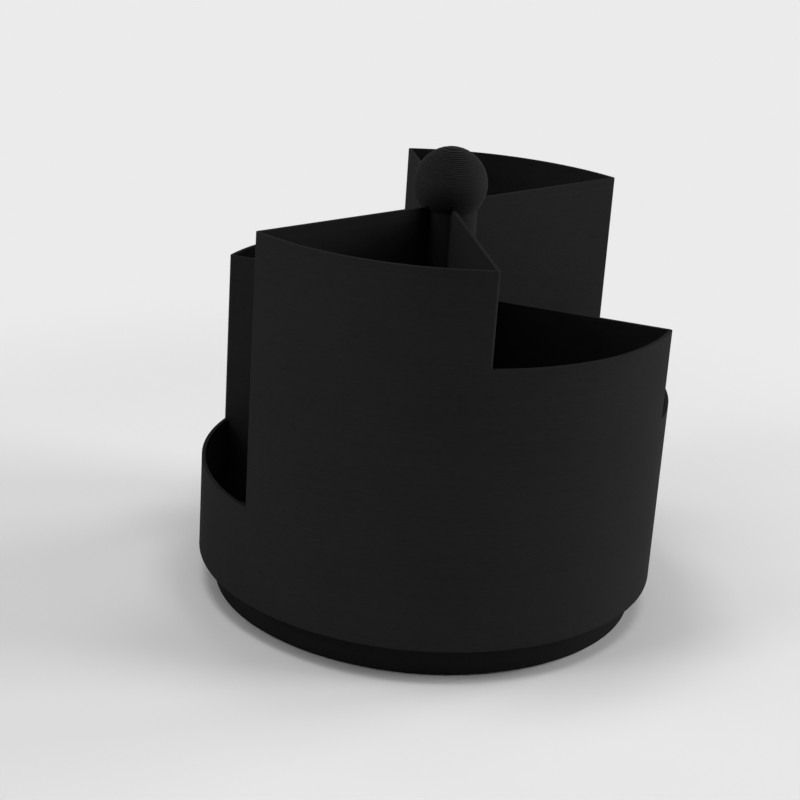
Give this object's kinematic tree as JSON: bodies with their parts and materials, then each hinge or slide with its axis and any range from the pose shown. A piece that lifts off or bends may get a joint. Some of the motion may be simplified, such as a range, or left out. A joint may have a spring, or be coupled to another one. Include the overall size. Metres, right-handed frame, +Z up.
{
  "type": "rotating desk organizer",
  "caption": "Round desk organizer whose drum of open wedge compartments in stepped depths turns on a low base, with a ball knob on its centre column.",
  "frame": {"origin": "on the desk surface under the middle of the base", "axes": "+Z up along the drum axis; -Y is the front, the middle of the front compartment, the tall one nearest the viewer in the picture; +X is to its right"},
  "size_m": [0.155, 0.155, 0.1522],
  "materials": {
    "printed_black": "matt black printed plastic with fine horizontal layer lines",
    "rubber_black": "matt soft rubber",
    "race_steel": "turned steel with a light film of grease",
    "zinc_steel": "bright zinc plating",
    "ball_steel": "polished bearing steel",
    "nylon_white": "natural moulded nylon",
    "brass": "turned brass"
  },
  "bodies": {
    "base": {"base_pan": "printed_black", "foot_pad_1": "rubber_black", "foot_pad_2": "rubber_black", "foot_pad_3": "rubber_black", "foot_pad_4": "rubber_black", "foot_pad_5": "rubber_black", "foot_pad_6": "rubber_black", "lower_race": "race_steel", "pivot_bolt": "zinc_steel", "clamp_nut": "zinc_steel", "thrust_washer": "zinc_steel", "lock_nut": "zinc_steel"},
    "ball_ring": {"ball_cage": "nylon_white", "race_ball_1": "ball_steel", "race_ball_2": "ball_steel", "race_ball_3": "ball_steel", "race_ball_4": "ball_steel", "race_ball_5": "ball_steel", "race_ball_6": "ball_steel", "race_ball_7": "ball_steel", "race_ball_8": "ball_steel", "race_ball_9": "ball_steel", "race_ball_10": "ball_steel", "race_ball_11": "ball_steel", "race_ball_12": "ball_steel", "race_ball_13": "ball_steel", "race_ball_14": "ball_steel", "race_ball_15": "ball_steel", "race_ball_16": "ball_steel"},
    "drum": {"drum_floor": "printed_black", "column": "printed_black", "knob": "printed_black", "upper_race": "race_steel", "pivot_bush": "brass", "wall_front": "printed_black", "wall_right_front": "printed_black", "wall_right_back": "printed_black", "wall_back": "printed_black", "wall_left_back": "printed_black", "wall_left_front": "printed_black", "divider_front_right": "printed_black", "divider_right": "printed_black", "divider_back_right": "printed_black", "divider_back_left": "printed_black", "divider_left": "printed_black", "divider_front_left": "printed_black"}
  },
  "joints": [
    {"name": "drum_spin", "type": "hinge", "parent": "base", "child": "drum", "pos_m": [0, 0, 0.0114], "axis": [0, 0, 1], "continuous": true},
    {"name": "ball_ring_spin", "type": "hinge", "parent": "base", "child": "ball_ring", "pos_m": [0, 0, 0.00695], "axis": [0, 0, 1], "continuous": true}
  ],
  "couplings": [
    {"joint": "ball_ring_spin", "follows": "drum_spin", "ratio": 0.5}
  ]
}
